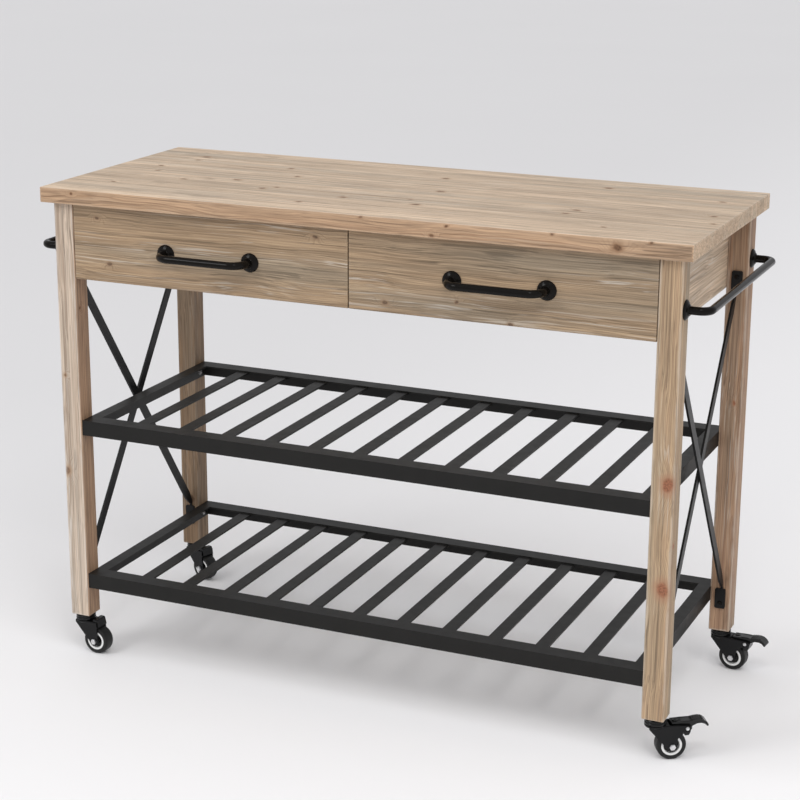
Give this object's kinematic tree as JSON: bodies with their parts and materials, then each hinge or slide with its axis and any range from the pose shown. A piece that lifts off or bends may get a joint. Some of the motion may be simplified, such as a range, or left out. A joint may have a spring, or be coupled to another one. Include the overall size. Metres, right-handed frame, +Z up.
{
  "type": "kitchen island cart",
  "caption": "Rolling kitchen island with a wooden top, drawers with bar pulls, slatted steel shelves, crossed end braces, towel bars and swivel casters, some with foot brakes.",
  "frame": {"origin": "on the floor, under the middle of the overall outline with handles and brake pedals", "axes": "+X to the right seen from the drawer side, +Y to the back, +Z up"},
  "size_m": [1.3104, 0.539, 0.917],
  "materials": {
    "worktop_wood": "oiled knotty softwood boards, glued side by side",
    "leg_wood": "oiled knotty softwood",
    "panel_wood": "oiled softwood board",
    "drawer_front_wood": "oiled softwood board",
    "inner_wood": "sanded, unfinished pine",
    "plywood": "thin plywood",
    "black_iron": "semi-gloss black over forged iron",
    "shelf_steel": "satin black powder coat",
    "rod_steel": "satin black powder coat",
    "caster_steel": "gloss black paint on pressed steel",
    "pedal_steel": "gloss black paint",
    "slide_steel": "zinc-plated steel",
    "zinc_steel": "bright zinc plate",
    "black_screws": "black oxide",
    "tyre": "black polyurethane, slight sheen",
    "wheel_plastic": "white moulded plastic"
  },
  "bodies": {
    "cart": {"back_panel": "panel_wood", "brace_left_back_to_front": "rod_steel", "brace_left_front_to_back": "rod_steel", "brace_right_back_to_front": "rod_steel", "brace_right_front_to_back": "rod_steel", "brace_screws": "black_screws", "caster_stems": "caster_steel", "centre_divider": "inner_wood", "leg_front_left": "leg_wood", "leg_front_right": "leg_wood", "leg_inserts": "zinc_steel", "leg_rear_left": "leg_wood", "leg_rear_right": "leg_wood", "lower_shelf_end_rails": "shelf_steel", "lower_shelf_long_rails": "shelf_steel", "lower_shelf_slats": "shelf_steel", "shelf_bolts": "zinc_steel", "side_panel_left": "panel_wood", "side_panel_right": "panel_wood", "slide_channels": "slide_steel", "towel_bar_flanges": "black_iron", "towel_bar_left": "black_iron", "towel_bar_right": "black_iron", "upper_shelf_end_rails": "shelf_steel", "upper_shelf_long_rails": "shelf_steel", "upper_shelf_slats": "shelf_steel", "worktop": "worktop_wood", "worktop_cleats": "inner_wood"},
    "drawer_left": {"drawer_left_back": "inner_wood", "drawer_left_bottom": "plywood", "drawer_left_front": "drawer_front_wood", "drawer_left_pull": "black_iron", "drawer_left_pull_flanges": "black_iron", "drawer_left_runners": "slide_steel", "drawer_left_sides": "inner_wood"},
    "drawer_right": {"drawer_right_back": "inner_wood", "drawer_right_bottom": "plywood", "drawer_right_front": "drawer_front_wood", "drawer_right_pull": "black_iron", "drawer_right_pull_flanges": "black_iron", "drawer_right_runners": "slide_steel", "drawer_right_sides": "inner_wood"},
    "caster_front_left": {"caster_front_left_fork": "caster_steel", "caster_front_left_bolts": "zinc_steel"},
    "wheel_front_left": {"caster_front_left_tyre": "tyre", "caster_front_left_wheel_core": "wheel_plastic"},
    "caster_rear_left": {"caster_rear_left_fork": "caster_steel", "caster_rear_left_bolts": "zinc_steel"},
    "wheel_rear_left": {"caster_rear_left_tyre": "tyre", "caster_rear_left_wheel_core": "wheel_plastic"},
    "caster_front_right": {"caster_front_right_fork": "caster_steel", "caster_front_right_bolts": "zinc_steel"},
    "wheel_front_right": {"caster_front_right_tyre": "tyre", "caster_front_right_wheel_core": "wheel_plastic"},
    "brake_front_right": {"caster_front_right_brake_pedal": "pedal_steel"},
    "caster_rear_right": {"caster_rear_right_fork": "caster_steel", "caster_rear_right_bolts": "zinc_steel"},
    "wheel_rear_right": {"caster_rear_right_tyre": "tyre", "caster_rear_right_wheel_core": "wheel_plastic"},
    "brake_rear_right": {"caster_rear_right_brake_pedal": "pedal_steel"}
  },
  "joints": [
    {"name": "drawer_left_slide", "type": "slide", "parent": "cart", "child": "drawer_left", "axis": [0, -1, 0], "range_m": [0, 0.3]},
    {"name": "drawer_right_slide", "type": "slide", "parent": "cart", "child": "drawer_right", "axis": [0, -1, 0], "range_m": [0, 0.3]},
    {"name": "swivel_front_left", "type": "hinge", "parent": "cart", "child": "caster_front_left", "pos_m": [-0.588, -0.2025, 0.064], "axis": [0, 0, 1], "continuous": true},
    {"name": "roll_front_left", "type": "hinge", "parent": "caster_front_left", "child": "wheel_front_left", "pos_m": [-0.56005, -0.20411, 0.0265], "axis": [0.0576, 0.9983, 0], "continuous": true},
    {"name": "swivel_rear_left", "type": "hinge", "parent": "cart", "child": "caster_rear_left", "pos_m": [-0.588, 0.2335, 0.064], "axis": [0, 0, 1], "continuous": true},
    {"name": "roll_rear_left", "type": "hinge", "parent": "caster_rear_left", "child": "wheel_rear_left", "pos_m": [-0.56149, 0.22448, 0.0265], "axis": [0.3223, 0.9466, 0], "continuous": true},
    {"name": "swivel_front_right", "type": "hinge", "parent": "cart", "child": "caster_front_right", "pos_m": [0.562, -0.2025, 0.064], "axis": [0, 0, 1], "continuous": true},
    {"name": "roll_front_right", "type": "hinge", "parent": "caster_front_right", "child": "wheel_front_right", "pos_m": [0.58593, -0.18795, 0.0265], "axis": [-0.5195, 0.8545, 0], "continuous": true},
    {"name": "brake_front_right_press", "type": "hinge", "parent": "caster_front_right", "child": "brake_front_right", "pos_m": [0.60814, -0.17445, 0.059], "axis": [-0.5195, 0.8545, 0], "range_deg": [0, 16]},
    {"name": "swivel_rear_right", "type": "hinge", "parent": "cart", "child": "caster_rear_right", "pos_m": [0.562, 0.2335, 0.064], "axis": [0, 0, 1], "continuous": true},
    {"name": "roll_rear_right", "type": "hinge", "parent": "caster_rear_right", "child": "wheel_rear_right", "pos_m": [0.58986, 0.23067, 0.0265], "axis": [0.1011, 0.9949, 0], "continuous": true},
    {"name": "brake_rear_right_press", "type": "hinge", "parent": "caster_rear_right", "child": "brake_rear_right", "pos_m": [0.61572, 0.22804, 0.059], "axis": [0.1011, 0.9949, 0], "range_deg": [0, 16]}
  ]
}
